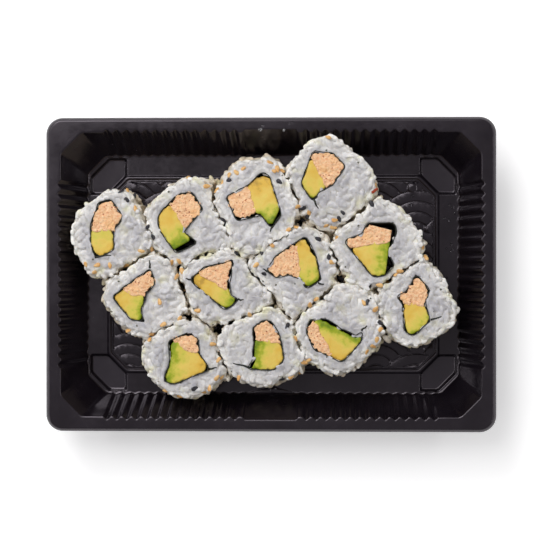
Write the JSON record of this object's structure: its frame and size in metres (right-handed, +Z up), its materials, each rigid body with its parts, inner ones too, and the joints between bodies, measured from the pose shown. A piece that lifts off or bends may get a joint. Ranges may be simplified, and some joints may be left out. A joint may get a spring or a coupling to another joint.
{
  "type": "takeaway sushi tray",
  "caption": "Black fluted takeaway tray of inside-out sushi rolls standing cut side up, with fish and avocado in nori, sticky rice around it and sesame on the sides.",
  "frame": {"origin": "middle of the tray's outline, on the surface that its four corner feet stand on", "axes": "+X along the tray's long side, +Y across it, +Z up out of the tray"},
  "size_m": [0.216, 0.1506, 0.0288],
  "materials": {
    "tray_plastic": "thin black thermoformed plastic, semi-gloss",
    "rice": "cooked white sushi rice, slightly glossy and sticky",
    "nori": "near-black dried seaweed sheet, damp",
    "fish_mix": "pale pink-orange cooked fish, flaked and bound, with red-brown flecks",
    "avocado": "ripe avocado, yellow turning green at the skin side, moist",
    "sesame_tan": "toasted sesame seeds",
    "sesame_black": "black sesame seeds",
    "water": "small water drops on the plastic"
  },
  "bodies": {
    "root": {"tray": "tray_plastic", "rice_01": "rice", "nori_01": "nori", "fish_01": "fish_mix", "avocado_01": "avocado", "rice_02": "rice", "nori_02": "nori", "fish_02": "fish_mix", "avocado_02": "avocado", "rice_03": "rice", "nori_03": "nori", "fish_03": "fish_mix", "avocado_03": "avocado", "rice_04": "rice", "nori_04": "nori", "fish_04": "fish_mix", "avocado_04": "avocado", "rice_05": "rice", "nori_05": "nori", "fish_05": "fish_mix", "avocado_05": "avocado", "rice_06": "rice", "nori_06": "nori", "fish_06": "fish_mix", "avocado_06": "avocado", "rice_07": "rice", "nori_07": "nori", "fish_07": "fish_mix", "avocado_07": "avocado", "rice_08": "rice", "nori_08": "nori", "fish_08": "fish_mix", "avocado_08": "avocado", "rice_09": "rice", "nori_09": "nori", "fish_09": "fish_mix", "avocado_09": "avocado", "rice_10": "rice", "nori_10": "nori", "fish_10": "fish_mix", "avocado_10": "avocado", "rice_11": "rice", "nori_11": "nori", "fish_11": "fish_mix", "avocado_11": "avocado", "rice_12": "rice", "nori_12": "nori", "fish_12": "fish_mix", "avocado_12": "avocado"}
  },
  "joints": []
}
